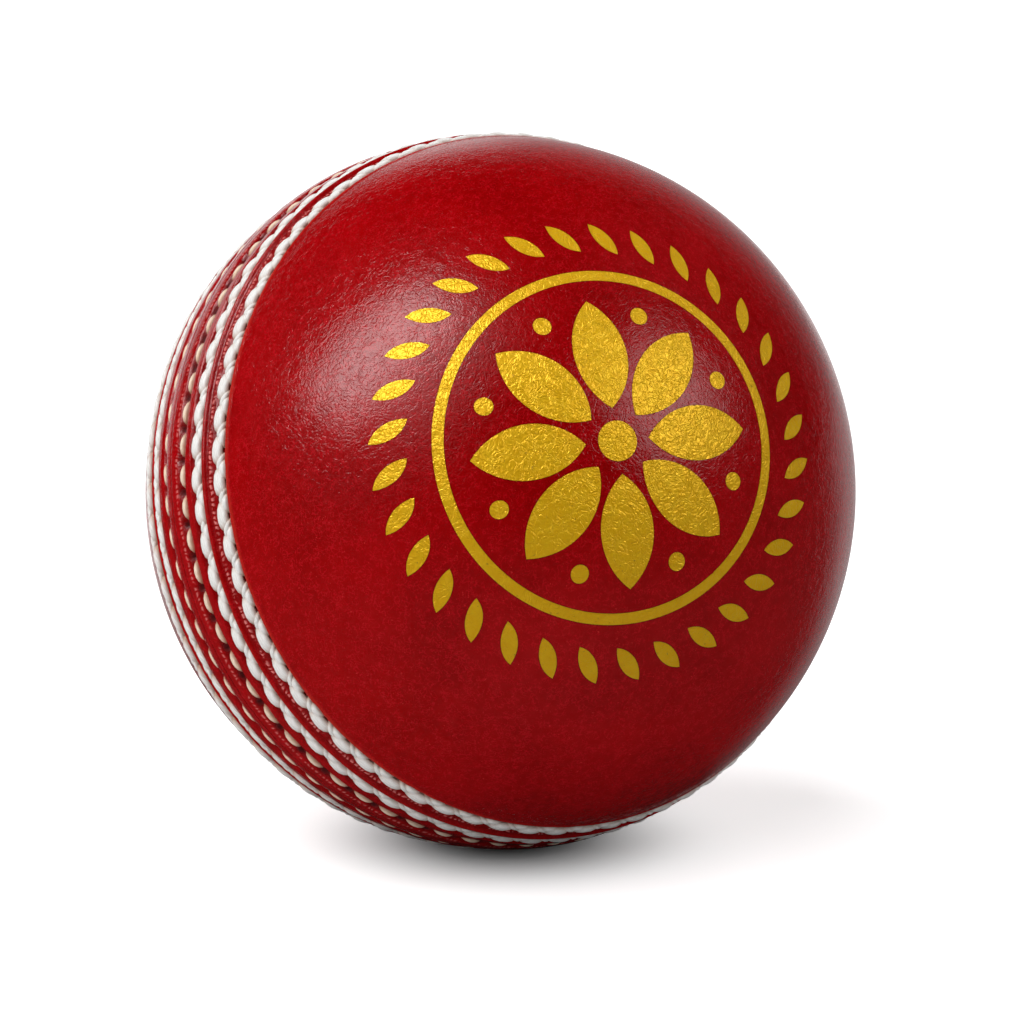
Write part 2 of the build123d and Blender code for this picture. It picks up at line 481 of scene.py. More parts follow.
def crown(edge, outlines, margins):
    """Flat mesh of the crown inside its edge, with the outlines and margins drawn in it.

    Gives its places, its faces, which faces are gilt, and the place of each edge corner.
    """
    room_at_edge, room_at_lines = crown_step * 0.6, crown_step * 0.35
    reach = np.hypot(edge[:, 0], edge[:, 1]).min() - room_at_edge
    rows = np.arange(-reach, reach, crown_step * math.sqrt(3) / 2)
    filling = []
    for number, y in enumerate(rows):
        shift = crown_step / 2 * (number % 2)
        filling += [(x + shift, y) for x in np.arange(-reach, reach, crown_step)]
    filling = np.array(filling)
    filling = filling[np.hypot(filling[:, 0], filling[:, 1]) < reach]
    fixed = [edge, *outlines, *margins]
    if outlines:
        drawn = np.concatenate([*outlines, *margins])
        nearest = np.full(len(filling), np.inf)
        for point in drawn:
            nearest = np.minimum(nearest, np.hypot(*(filling - point).T))
        filling = filling[nearest > room_at_lines]
    corners, edges, loops, start = [], [], [], 0
    for outline in fixed:
        numbers = list(range(start, start + len(outline)))
        edges += list(zip(numbers, numbers[1:] + numbers[:1]))
        loops.append(numbers)
        corners += [Vector(p) for p in outline]
        start += len(outline)
    corners += [Vector(p) for p in filling]
    gilt = loops[1 : 1 + len(outlines)]
    places, _, faces, sources, _, holders = delaunay_2d_cdt(corners, edges, gilt, 0, 1e-6)
    flat = np.array([tuple(p) for p in places])
    is_gilt = [len(found) % 2 == 1 for found in holders]
    from_edge = {old: new for new, olds in enumerate(sources) for old in olds if old < len(edge)}
    return flat, faces, is_gilt, from_edge


def leather_cup(name, seed, ridge_width, stamp):
    """Leather cup with its sewn edge, drawn upright, and the places and faces of its foil."""
    skin = Skin()
    distances = np.linspace(lip, band_end, round((band_end - lip) / seam_step) + 1)[:, None]
    angles = even_angles(seam_columns)[None, :]
    height, tone, flecks = seam_relief(distances, angles, seed, ridge_width)
    flecks = np.broadcast_to(flecks, height.shape)
    band = on_sphere(leather_radius + height, distances / leather_radius, angles)
    rings = [skin.ring(*row) for row in zip(band, tone, flecks)]
    for near, far in zip(rings, rings[1:]):
        skin.faces += bridge(near, far)

    edge_angles = even_angles(crown_columns)
    edge_points = on_sphere(leather_radius, crown_edge / leather_radius, edge_angles)
    edge = skin.ring(edge_points, np.zeros(crown_columns), shaded_round=True)
    skin.faces += bridge(rings[-1], edge)
    outlines = [stamped(o) for o in ornament()] if stamp else []
    margins = [stamped(o) for o in ornament(pressed_edge)] if stamp else []
    flat, faces, is_gilt, from_edge = crown(unrolled(edge_points), outlines, margins)
    gilt_faces = [face for face, gilt in zip(faces, is_gilt) if gilt]
    pressed = sorted({corner for face in gilt_faces for corner in face})
    radius = np.full(len(flat), leather_radius)
    radius[pressed] -= foil_depth
    # painted shade under the gold, fading out over its pressed edge
    shade = np.zeros(len(flat))
    shade[pressed] = pressed_tone
    numbers = {new: edge[old] for old, new in from_edge.items()}
    rest = [corner for corner in range(len(flat)) if corner not in numbers]
    places = skin.ring(rolled(flat, radius)[rest], shade[rest], shaded_round=True)
    numbers.update(zip(rest, places))
    skin.faces += [tuple(numbers[c] for c in face) for face in faces]

    hollow(skin, rings[0])
    return skin.mesh(name), (flat, gilt_faces)


def hollow(skin, sewn_edge):
    """The cut lip and the inner side of a cup, from its ring at the joint to its top."""
    # painted shade all over the cut lip and the inner side
    unseen = np.full(inner_columns, unseen_tone)
    angles = even_angles(inner_columns)
    wall = skin.ring(on_sphere(lining_radius, lip / lining_radius, angles), unseen)
    cut = on_sphere(flesh_radius, lip / flesh_radius, even_angles(crown_columns))
    flesh = skin.ring(cut, np.full(crown_columns, unseen_tone))
    faces = bridge(sewn_edge, flesh) + bridge(flesh, wall)
    ledge = lining_edge / leather_radius
    over_core = core_radius + core_gap
    levels = [(lining_radius, x) for x in np.linspace(0, ledge, lining_rows)[1:]]
    levels += [(over_core, x) for x in np.linspace(ledge, math.pi / 2, inner_rows)[:-1]]
    last = wall
    for radius, latitude in levels:
        ring = skin.ring(on_sphere(radius, latitude, angles), unseen)
        faces += bridge(last, ring)
        last = ring
    faces.append(tuple(last))
    skin.faces += [face[::-1] for face in faces]


def foil(name, flat, faces):
    """Thin gold foil lying in the pressed ornament, drawn upright."""
    used = sorted({corner for face in faces for corner in face})
    numbers = {old: new for new, old in enumerate(used)}
    faces = [tuple(numbers[c] for c in face) for face in faces]
    places = flat[used]
    count = len(used)
    bed_radius = leather_radius - foil_depth
    top = rolled(places, np.full(count, bed_radius + foil_thickness))
    under = rolled(places, np.full(count, bed_radius + foil_gap))
    sides = {(a, b) for face in faces for a, b in zip(face, face[1:] + face[:1])}
    rim = [(a, b) for a, b in sides if (b, a) not in sides]
    made = bpy.data.meshes.new(name)
    walls = [(b, a, a + count, b + count) for a, b in sorted(rim)]
    bottom = [tuple(c + count for c in face[::-1]) for face in faces]
    made.from_pydata([tuple(p) for p in np.concatenate([top, under])], [], faces + walls + bottom)
    made.shade_smooth()
    made.set_sharp_from_angle(angle=math.radians(40))
    return made


# ---------------- Threads


def new_tree(name, sizes):
    """Geometry tree with named inputs for its sizes and one geometry output."""
    tree = bpy.data.node_groups.new(name, "GeometryNodeTree")
    tree.interface.new_socket("Geometry", in_out="OUTPUT", socket_type="NodeSocketGeometry")
    for title, kind in sizes.items():
        tree.interface.new_socket(title, in_out="INPUT", socket_type="NodeSocket" + kind)
    return tree, add(tree, "NodeGroupInput").outputs


def output(tree, geometry):
    add(tree, "NodeGroupOutput", {"Geometry": geometry})
    return tree


strand_end_swell = 0.6
lay_stretch = 0.35  # of the fibres along a strand
STRAND_SIZES = {
    "Size": "Vector",
    "Place": "Vector",
    "Bow": "Float",
    "Dip": "Float",
    "Slant": "Float",
    "Twist": "Float",
    "Taper": "Float",
}


def strand_tree():
    """One plump strand of thread: a closed ball drawn out, bent and dipped at its ends."""
    tree, size = new_tree("strand_of_thread", STRAND_SIZES)
    marked = add(tree, "GeometryNodeMeshUVSphere", {"Segments": 8, "Rings": 8, "Radius": 1.0})
    spot = add(tree, "GeometryNodeInputPosition").outputs[0]
    side, over, along = components(tree, spot)
    square = times(tree, along, along)
    half_length, half_width, half_depth = components(tree, size["Size"])
    length = times(tree, along, half_length)
    fuller = plus(tree, 1.0, times(tree, square, strand_end_swell))
    tapered = plus(tree, fuller, times(tree, along, size["Taper"]))
    width = times(tree, times(tree, side, half_width), tapered)
    width = plus(tree, width, times(tree, square, size["Bow"]))
    depth = times(tree, times(tree, over, half_depth), fuller)
    depth = maths(tree, "SUBTRACT", depth, times(tree, square, size["Dip"]))
    bare = maths(tree, "SQRT", maths(tree, "SUBTRACT", 1.0001, square))  # never 0 at the ends
    lay = combined(tree, maths(tree, "DIVIDE", side, bare), maths(tree, "DIVIDE", over, bare), 0.0)
    inputs = {"Vector": lay, "Angle": times(tree, along, size["Twist"])}
    lay = add(tree, "ShaderNodeVectorRotate", inputs, rotation_type="Z_AXIS").outputs[0]
    drawn_out = combined(tree, 0.0, 0.0, times(tree, length, lay_stretch))
    lay = vector_maths(tree, "ADD", lay, drawn_out)
    # low at a strand's sides and ends, where the thread's material paints shade
    raised = maths(tree, "SUBTRACT", over, square)
    for title, value, kind in (("lay", lay, "FLOAT_VECTOR"), ("raised", raised, "FLOAT")):
        inputs = {"Geometry": marked.outputs[0], "Name": title, "Value": value}
        settings = {"data_type": kind, "domain": "POINT"}
        marked = add(tree, "GeometryNodeStoreNamedAttribute", inputs, **settings)
    inputs = {"Geometry": marked.outputs[0], "Position": combined(tree, length, width, depth)}
    drawn = add(tree, "GeometryNodeSetPosition", inputs).outputs[0]
    slant = combined(tree, 0.0, 0.0, size["Slant"])
    inputs = {"Geometry": drawn, "Translation": size["Place"], "Rotation": slant}
    return output(tree, add(tree, "GeometryNodeTransform", inputs).outputs[0])


def strand(tree, shape, size, place, bow, dip, slant=0.0, twist=0.0, taper=0.0):
    """A strand of thread inside a row's tree."""
    made = add(tree, "GeometryNodeGroup")
    made.node_tree = shape
    for title, value in zip(STRAND_SIZES, (size, place, bow, dip, slant, twist, taper)):
        made.inputs[title].default_value = value
    return made.outputs["Geometry"]


def sewn_row(tree, size, stitch, material):
    """The stitch repeated round the ball, each a little uneven, as one mesh."""
    row = add(tree, "GeometryNodeMeshLine", {"Count": size["Stitches"]}, mode="OFFSET")
    number = add(tree, "GeometryNodeInputIndex").outputs[0]
    inputs = {"Min": (-1, -1, -1), "Max": (1, 1, 1), "ID": number, "Seed": size["Seed"]}
    wobble = add(tree, "FunctionNodeRandomValue", inputs, data_type="FLOAT_VECTOR")
    evenly = combined(tree, size["Looseness"], size["Looseness"], size["Looseness"])
    strayed = vector_maths(tree, "MULTIPLY", wobble.outputs["Value"], evenly)
    ahead, turned, fuller = components(tree, strayed)
    shift = plus(tree, size["Phase"], times(tree, ahead, 0.5))
    place = plus(tree, number, shift)
    angle = maths(tree, "DIVIDE", times(tree, place, 2 * math.pi), size["Stitches"])
    cosine, sine = maths(tree, "COSINE", angle), maths(tree, "SINE", angle)
    level, up = maths(tree, "COSINE", size["Latitude"]), maths(tree, "SINE", size["Latitude"])
    out = combined(tree, times(tree, cosine, level), times(tree, sine, level), up)
    tangent = combined(tree, times(tree, sine, -1.0), cosine, 0.0)
    inputs = {0: out, "Scale": size["Row Radius"]}
    spot = add(tree, "ShaderNodeVectorMath", inputs, operation="SCALE").outputs[0]
    inputs = {"Geometry": row.outputs[0], "Position": spot}
    set_out = add(tree, "GeometryNodeSetPosition", inputs)
    inputs = {"Primary Axis": out, "Secondary Axis": tangent}
    settings = {"primary_axis": "Z", "secondary_axis": "X"}
    facing = add(tree, "FunctionNodeAxesToRotation", inputs, **settings)
    spin = add(tree, "FunctionNodeEulerToRotation", {0: combined(tree, 0.0, 0.0, turned)})
    inputs = {"Rotation": facing.outputs[0], "Rotate By": spin.outputs[0]}
    swing = add(tree, "FunctionNodeRotateRotation", inputs, rotation_space="LOCAL")
    inputs = {
        "Points": set_out.outputs[0],
        "Instance": stitch,
        "Rotation": swing.outputs[0],
        "Scale": combined(tree, 1.0, plus(tree, 1.0, fuller), 1.0),
    }
    placed = add(tree, "GeometryNodeInstanceOnPoints", inputs)
    whole = add(tree, "GeometryNodeRealizeInstances", {0: placed.outputs[0]})
    smooth = add(tree, "GeometryNodeSetShadeSmooth", {0: whole.outputs[0]})
    inputs = {0: smooth.outputs[0], "Material": material}
    return output(tree, add(tree, "GeometryNodeSetMaterial", inputs).outputs[0])


# Strands of a stitch; a size is half the length, width and depth
fat_strand = dict(
    size=(1.64, 0.72, 0.44), place=(1.56, -0.14, 0.0), bow=0.14, dip=0.34, twist=0.5, taper=0.10
)
first_ply = dict(
    size=(1.10, 0.30, 0.34), place=(-0.22, 0.16, 0.04), bow=0.10, dip=0.34, slant=-0.50, twist=1.2
)
second_ply = dict(
    size=(1.00, 0.40, 0.36), place=(0.42, 0.42, 0.0), bow=0.20, dip=0.34, slant=-0.06, twist=1.2
)
crescent = dict(size=(1.24, 0.34, 0.34), place=(1.56, -0.06, 0.0), bow=0.22, dip=0.30, twist=0.4)
ROW_SIZES = {
    "Stitches": "Int",
    "Row Radius": "Float",
    "Latitude": "Float",
    "Phase": "Float",
    "Looseness": "Float",
    "Seed": "Int",
}


def rope_tree(shape, material):
    """Rope row: in each stitch a fat strand, and a pair of plies over its tail."""
    tree, size = new_tree("rope_row", ROW_SIZES)
    join = add(tree, "GeometryNodeJoinGeometry")
    for sizes in (fat_strand, first_ply, second_ply):
        tree.links.new(strand(tree, shape, **sizes), join.inputs[0])
    return sewn_row(tree, size, join.outputs[0], material)


def closing_tree(shape, material):
    """Closing row: one short crescent in each step of the groove."""
    tree, size = new_tree("closing_row", ROW_SIZES)
    return sewn_row(tree, size, strand(tree, shape, **crescent), material)


def made_by(tree, name, sizes):
    """The plain mesh that a tree makes with the given sizes."""
    carrier = new_object(name, bpy.data.meshes.new(name + "_start"))
    modifier = carrier.modifiers.new(tree.name, "NODES")
    modifier.node_group = tree
    for socket in tree.interface.items_tree:
        if socket.in_out == "INPUT":
            modifier[socket.identifier] = sizes[socket.name]
    evaluated = carrier.evaluated_get(bpy.context.evaluated_depsgraph_get())
    mesh = bpy.data.meshes.new_from_object(evaluated)
    bpy.data.objects.remove(carrier)
    mesh.name = name
    return mesh


# ---------------- Materials

glint_count = 450.0  # painted glints round the ball, as dashes
glint_stray = 14.0
leather_gloss = {"IOR": 1.48}
gold_gloss = {"Metallic": 0.36, "IOR": 2.0, "Specular Tint": (1.0, 0.83, 0.35, 1)}
thread_gloss = {"Sheen Weight": 0.15}

deep_red = (0.255, 0.0003, 0.0008)
full_red = (0.34, 0.0005, 0.0014)
patch_red = (0.39, 0.001, 0.0025)
crease_red = (0.60, 0.006, 0.014)
speck_red = (0.70, 0.03, 0.03)
# lighter red for the raised bead and rim, painted shade, and painted glints
bead_and_rim_red = (0.60, 0.035, 0.02)
shaded_red = (0.035, 0.001, 0.001)
glint_red = (0.85, 0.26, 0.24)
deep_gold = (0.96, 0.50, 0.003)
pale_gold = (1.0, 0.60, 0.012)
worn_gold = (0.45, 0.20, 0.02)
# light and dark fibres, and the painted shade of sunk parts
white_yarn = dict(light=(0.92, 0.91, 0.89), dark=(0.74, 0.715, 0.68), sunk=(0.46, 0.30, 0.22))
cream_yarn = dict(light=(0.93, 0.77, 0.61), dark=(0.74, 0.53, 0.37), sunk=(0.42, 0.20, 0.11))
dark_cork = (0.34, 0.19, 0.09)
light_cork = (0.55, 0.35, 0.18)
cork_speck = (0.12, 0.05, 0.02)
dark_wool = (0.46, 0.40, 0.31)
light_wool = (0.72, 0.67, 0.57)
wool_fuzz = (0.80, 0.76, 0.68)
dark_hide = (0.36, 0.24, 0.14)
light_hide = (0.56, 0.42, 0.28)


def new_material(name):
    made = bpy.data.materials.new(name)
    made.use_nodes = True
    made.node_tree.nodes.clear()
    return made, made.node_tree


def finish_material(tree, shader):
    add(tree, "ShaderNodeOutputMaterial", {"Surface": shader.outputs[0]})


def surface(tree, colour, roughness, normal, more=None):
    """The material's surface, with more settings of its shader by name."""
    inputs = {"Base Color": colour, "Roughness": roughness, "Normal": normal, **(more or {})}
    finish_material(tree, add(tree, "ShaderNodeBsdfPrincipled", inputs))


def attribute(tree, name, output="Fac"):
    """What the mesh says under a name."""
    return add(tree, "ShaderNodeAttribute", attribute_name=name).outputs[output]


def in_millimetres(tree, scale=(1, 1, 1), upright=False):
    """Object coordinates in millimetres, stretched and, if asked, turned upright."""
    source = add(tree, "ShaderNodeTexCoord").outputs["Object"]
    if upright:
        inputs = {"Vector": source, "Rotation": (math.radians(seam_lean - 90), 0, 0)}
        source = add(tree, "ShaderNodeMapping", inputs).outputs[0]
    inputs = {"Vector": source, "Scale": tuple(s / MM for s in scale)}
    return add(tree, "ShaderNodeMapping", inputs).outputs[0]


def noise(tree, vector, scale, detail=1.0, roughness=0.5):
    """Soft lumps about 0.5, as many to a unit of the vector as the scale says."""
    inputs = {"Vector": vector, "Scale": scale, "Detail": detail, "Roughness": roughness}
    return add(tree, "ShaderNodeTexNoise", inputs).outputs["Fac"]


def ramp(tree, value, start, end, low=0.0, high=1.0, kind="LINEAR"):
    """Value spread from low to high as it goes from start to end."""
    inputs = {"Value": value, "From Min": start, "From Max": end, "To Min": low, "To Max": high}
    return add(tree, "ShaderNodeMapRange", inputs, interpolation_type=kind).outputs[0]


def smooth_ramp(tree, value, start, end, low=0.0, high=1.0):
    """A ramp with soft ends."""
    return ramp(tree, value, start, end, low, high, kind="SMOOTHSTEP")


def mixed(tree, share, first, second):
    """Colour between two colours or sockets."""
    made = add(tree, "ShaderNodeMix", {"Factor": share}, data_type="RGBA")
    for socket, value in ((made.inputs[6], first), (made.inputs[7], second)):
        if isinstance(value, bpy.types.NodeSocket):
            tree.links.new(value, socket)
        else:
            socket.default_value = (*value, 1)
    return made.outputs[2]


def winding_lines(tree, vector, scale, width):
    """1 on thin winding lines, fading to 0 over their width in the noise."""
    from_middle = maths(tree, "SUBTRACT", noise(tree, vector, scale), 0.5)
    return ramp(tree, maths(tree, "ABSOLUTE", from_middle), 0.0, width, 1.0, 0.0)


def grain(tree, vector):
    """Fine worm-like creases of polished leather, from 0 in a crease to 1 between them."""
    inputs = {"Vector": vector, "Scale": 0.7, "Detail": 2.0}
    warp = add(tree, "ShaderNodeTexNoise", inputs).outputs["Color"]
    warp = vector_maths(tree, "MULTIPLY", warp, (1.6, 1.6, 1.6))
    pushed = vector_maths(tree, "ADD", vector, warp)
    broad = times(tree, winding_lines(tree, pushed, scale=1.6, width=0.10), -0.6)
    fine = times(tree, winding_lines(tree, pushed, scale=2.9, width=0.14), -0.4)
    return plus(tree, 1.0, plus(tree, broad, fine))


def bump(tree, height, distance, strength=1.0, normal=None):
    """Facing of a surface whose height of 1 stands up by a distance in millimetres."""
    inputs = {"Height": height, "Distance": distance * MM, "Strength": strength}
    if normal is not None:
        inputs["Normal"] = normal
    return add(tree, "ShaderNodeBump", inputs).outputs[0]


def painted_glints(tree, spot):
    """1 on painted glints, dashes round the seam where its raised edges catch light, 0 between
    them.
    """
    x, y, _ = components(tree, in_millimetres(tree, upright=True))
    angle = maths(tree, "ARCTAN2", y, x)
    strayed = times(tree, noise(tree, spot, 1.0, detail=2.0), glint_stray)
    turns = plus(tree, times(tree, angle, glint_count), strayed)
    uneven = ramp(tree, noise(tree, spot, 1.1), 0.38, 0.5)
    return times(tree, ramp(tree, maths(tree, "SINE", turns), -0.5, 0.3), uneven)


def red_leather():
    """Dyed and polished leather, lighter on the raised bead and rim, with painted shade and
    painted glints where its cup's mesh says so.
    """
    made, tree = new_material("red_leather")
    spot = in_millimetres(tree)
    cloud = noise(tree, spot, 0.10, detail=5.0, roughness=0.6)
    patch = noise(tree, spot, 0.9, detail=4.0, roughness=0.6)
    colour = mixed(tree, ramp(tree, cloud, 0.35, 0.68), deep_red, full_red)
    colour = mixed(tree, ramp(tree, patch, 0.45, 0.75, high=0.5), colour, patch_red)
    broken = ramp(tree, noise(tree, spot, 1.3), 0.38, 0.52)
    lines = times(tree, winding_lines(tree, spot, scale=2.6, width=0.06), broken)
    colour = mixed(tree, times(tree, lines, 0.55), colour, crease_red)
    specks = ramp(tree, noise(tree, spot, 4.5), 0.70, 0.80, high=0.55)
    colour = mixed(tree, specks, colour, speck_red)
    flecks = times(tree, attribute(tree, "flecks"), painted_glints(tree, spot))
    tone = attribute(tree, "tone")
    # lighter on the raised bead and rim
    colour = mixed(tree, ramp(tree, tone, 0.0, 1.0, high=0.7), colour, bead_and_rim_red)
    # painted shade in the seam's hollows, under the gold and inside the cup
    colour = mixed(tree, ramp(tree, tone, 0.0, -1.0, high=0.92), colour, shaded_red)
    # painted glints on the ridge's shoulder and the puckered line
    colour = mixed(tree, times(tree, flecks, 0.85), colour, glint_red)
    round_seam = in_millimetres(tree, (0.25, 0.25, 5.0), upright=True)
    creases = noise(tree, round_seam, 1.0, detail=3.0, roughness=0.6)
    normal = bump(tree, creases, 0.02, strength=0.3)
    normal = bump(tree, noise(tree, spot, 0.8), 0.03, strength=0.4, normal=normal)
    normal = bump(tree, grain(tree, spot), 0.016, normal=normal)
    rough = ramp(tree, patch, 0.3, 0.7, low=0.13, high=0.17)
    rough = plus(tree, rough, ramp(tree, tone, -0.2, -1.0, high=0.3))
    surface(tree, colour, rough, normal, leather_gloss)
    return made


def gold_foil():
    """Hot-pressed foil that takes on the leather's grain, worn through in pores."""
    made, tree = new_material("gold_foil")
    spot = in_millimetres(tree)
    worn = noise(tree, spot, 1.2, detail=5.0, roughness=0.65)
    colour = mixed(tree, ramp(tree, worn, 0.3, 0.75), deep_gold, pale_gold)
    pores = ramp(tree, noise(tree, spot, 3.2), 0.72, 0.80, high=0.6)
    colour = mixed(tree, pores, colour, worn_gold)
    normal = bump(tree, grain(tree, spot), 0.05)
    surface(tree, colour, 0.34, normal, gold_gloss)
    return made


def thread(name, light, dark, sunk):
    """Waxed linen thread with fine fibres along its lay, with painted warm shade where it sinks
    in.
    """
    made, tree = new_material(name)
    lay = attribute(tree, "lay", "Vector")
    fibres = noise(tree, lay, 5.5, detail=2.0, roughness=0.6)
    broad = noise(tree, lay, 1.6)
    colour = mixed(tree, ramp(tree, fibres, 0.35, 0.65), dark, light)
    # painted warm shade where a strand sinks under the others and at its ends
    colour = mixed(tree, ramp(tree, attribute(tree, "raised"), -0.3, 0.65), sunk, colour)
    normal = bump(tree, fibres, 0.06, strength=0.5)
    normal = bump(tree, broad, 0.10, strength=0.5, normal=normal)
    surface(tree, colour, 0.62, normal, thread_gloss)
    return made


def cork():
    """Pressed cork grains with dark specks between them."""
    made, tree = new_material("cork")
    spot = in_millimetres(tree)
    cells = add(tree, "ShaderNodeTexVoronoi", {"Vector": spot, "Scale": 0.9, "Randomness": 1.0})
    shade = add(tree, "ShaderNodeSeparateColor", {0: cells.outputs["Color"]}).outputs[0]
    colour = mixed(tree, shade, dark_cork, light_cork)
    specks = ramp(tree, noise(tree, spot, 2.0, detail=3.0), 0.62, 0.72)
    colour = mixed(tree, specks, colour, cork_speck)
    surface(tree, colour, 0.85, bump(tree, cells.outputs["Distance"], 0.12, strength=0.6))
    return made


def wool_yarn():
    """Wound worsted strands with fuzz over them."""
    made, tree = new_material("wool_yarn")
    spot = in_millimetres(tree)
    waves = {"Vector": spot, "Scale": 0.5, "Distortion": 9.0, "Detail": 1.0, "Detail Scale": 0.15}
    strands = add(tree, "ShaderNodeTexWave", waves, bands_direction="DIAGONAL").outputs["Fac"]
    fuzz = noise(tree, spot, 6.0, detail=4.0, roughness=0.7)
    colour = mixed(tree, strands, dark_wool, light_wool)
    colour = mixed(tree, ramp(tree, fuzz, 0.4, 0.7, high=0.5), colour, wool_fuzz)
    normal = bump(tree, strands, 0.35, strength=0.9)
    surface(tree, colour, 0.9, bump(tree, fuzz, 0.08, strength=0.5, normal=normal))
    return made


def lining_leather():
    """Undyed leather with a nap."""
    made, tree = new_material("lining_leather")
    nap = noise(tree, in_millimetres(tree), 3.0, detail=5.0, roughness=0.7)
    colour = mixed(tree, nap, dark_hide, light_hide)
    surface(tree, colour, 0.9, bump(tree, nap, 0.08, strength=0.6))
    return made


# ---------------- The pieces


def show(mesh, name, node, material=None, over=False):
    """A finished piece in its resting place, turned over for the back, standing for a CAD node."""
    mesh.transform(resting @ turned_over if over else resting)
    if material is not None:
        coat(mesh, material)
    piece = new_object(name, mesh)
    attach(piece, "root")
    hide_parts(node)


def cups(leather, gold):
    """Both cups, and the gold ornament pressed into the front one."""
    mesh, gilt = leather_cup("front_leather", cup_seeds["front"], front_ridge, stamp=True)
    show(mesh, "front_leather", "front_cup", leather)
    show(foil("gold_ornament", *gilt), "gold_ornament", "gold_foil", gold)
    mesh, _ = leather_cup("back_leather", cup_seeds["back"], back_ridge, stamp=False)
    show(mesh, "back_leather", "back_cup", leather, over=True)


def threads(white, cream):
    """Six rows of stitches, three on each side of the joint."""
    shape = strand_tree()
    rope = rope_tree(shape, white), rope_stitches, rope_sunk
    closing = closing_tree(shape, cream), closing_stitches, closing_sunk
    rows = (
        ("middle", rope, middle_row, middle_phase),
        ("outer", rope, outer_row, outer_phase),
        ("closing", closing, closing_row, closing_phase),
    )
    for side, over in (("front", False), ("back", True)):
        for number, (row, (tree, count, sunk), distance, phase) in enumerate(rows):
            sizes = {
                "Stitches": count,
                "Row Radius": leather_radius - sunk,
                "Latitude": distance / leather_radius,
                "Phase": phase,
                "Looseness": looseness,
                "Seed": stitch_seeds[side] + number,
            }
            name = f"{side}_{row}_stitches"
            if row == "closing":
                node, slot = "closing_thread", "cream_thread"
            else:
                node, slot = f"{side}_{row}_thread", "white_thread"
            show(made_by(tree, name, sizes), name, node, over=over)


def inside():
    """Materials of the core and the linings, which keep their CAD shape."""
    finishes = {"cork": cork(), "wool_yarn": wool_yarn(), "lining_leather": lining_leather()}
    for part in frame["record"]["subparts"]:
        if part["material_slot"] in finishes:
            coat(frame["nodes"][part["node"]].data, finishes[part["material_slot"]])


# ---------------- Studio

camera_azimuth = -29.8
camera_elevation = 10.0
camera_distance = 360.0
camera_lens = 124.3
aim_right = 1.15
aim_up = -2.1

# Lamps and the soft boxes that stand for them in reflections, with their angles in degrees
key_lamp = dict(azimuth=-94, elevation=43, strength=3.55, spread=90)
fill_lamp = dict(azimuth=75, elevation=25, strength=1.9, spread=90)
even_light = 0.04
key_box = dict(
    azimuth=-89, elevation=48, roll=-13, half_width=10.4, half_height=21, soft=6, strength=5.6
)
key_halo = dict(
    azimuth=-70, elevation=50, roll=-13, half_width=14, half_height=20, soft=18, strength=1.6
)
fill_box = dict(
    azimuth=33, elevation=31, roll=16, half_width=15, half_height=13, soft=12, strength=3.3
)
window = dict(
    azimuth=-185, elevation=-2, roll=0, half_width=22, half_height=27, soft=8, strength=0.8
)
sweep_strength = 0.6

floor_half = 6.0  # in metres
floor_whites = (1.06, 1.06, 1.06), (1.09, 1.09, 1.09)
# painted shadow close under the ball, grey at the contact and gone by the reach in millimetres
contact_shadow_grey = (0.35, 0.35, 0.35)
contact_reach = 2, 12
# Levels over the floor. Each is two smooth steps over the distance in millimetres, added up;
# a step has its start and end, and the level at each
floor_bounce = (12, 45, 0.02, 0.74), (60, 220, 0.0, -0.7)  # in the light thrown back, painted dark near the ball as a shadow
floor_glow = (5, 22, 0.0, 0.46), (40, 150, 0.0, -0.20)  # to the camera
pale_behind = (5, 35, 0.0, 0.32), (35, 200, 0.0, 0.25)  # in reflections, behind the ball
pale_way = dict(azimuth=162, start=0.80, end=0.92)
least_pale = 0.04
lit_behind = (0, 30, 0.03, 0.17), (30, 110, 0.0, 0.25)  # glow in reflections, from beside it
lit_way = dict(azimuth=145, start=0.643, end=0.9)
lit_from_azimuth, lit_from_distance = 60, 30


def away(azimuth, elevation):
    """Direction out of the ball; azimuth 0 is towards -Y and 90 towards +X."""
    azimuth, elevation = math.radians(azimuth), math.radians(elevation)
    level = math.cos(elevation)
    return Vector((math.sin(azimuth) * level, -math.cos(azimuth) * level, math.sin(elevation)))


def camera():
    """Camera near the ball's height, with the ball a little off its middle."""
    towards = away(camera_azimuth, camera_elevation)
    right = Vector((0, 0, 1)).cross(towards).normalized()
    up = towards.cross(right)
    place = towards * camera_distance * MM
    aim = (right * aim_right + up * aim_up) * MM
    lens = bpy.data.cameras.new("camera")
    lens.lens = camera_lens
    lens.clip_start, lens.clip_end = 0.01, 50
    made = new_object("camera", lens)
    made.location = place
    made.rotation_euler = (aim - place).to_track_quat("-Z", "Y").to_euler()
    bpy.context.scene.camera = made


def lamp(name, azimuth, elevation, strength, spread):
    """Far soft lamp in a direction from the ball, as wide as its spread in degrees."""
    light = bpy.data.lights.new(name, "SUN")
    light.energy = strength
    light.angle = math.radians(spread)
    made = new_object(name, light)
    made.rotation_euler = away(azimuth, elevation).to_track_quat("Z", "Y").to_euler()
    made.visible_glossy = False  # its soft box shows there


def soft_box(tree, facing, azimuth, elevation, roll, half_width, half_height, soft, strength):
    """Light of a rectangular soft box in a direction from the ball, with its sizes in degrees."""
    middle = away(azimuth, elevation)
    turn = Matrix.Rotation(math.radians(roll), 3, middle)
    side = turn @ Vector((0, 0, 1)).cross(middle).normalized()
    light = strength
    for axis, half in ((side, half_width), (middle.cross(side), half_height)):
        off = maths(tree, "ABSOLUTE", reach_along(tree, facing, axis))
        edge = [math.sin(math.radians(half + step * soft)) for step in (0.5, -0.5)]
        light = times(tree, light, ramp(tree, off, *edge))
    ahead = ramp(tree, reach_along(tree, facing, middle), 0.0, 0.1)
    return times(tree, light, ahead)


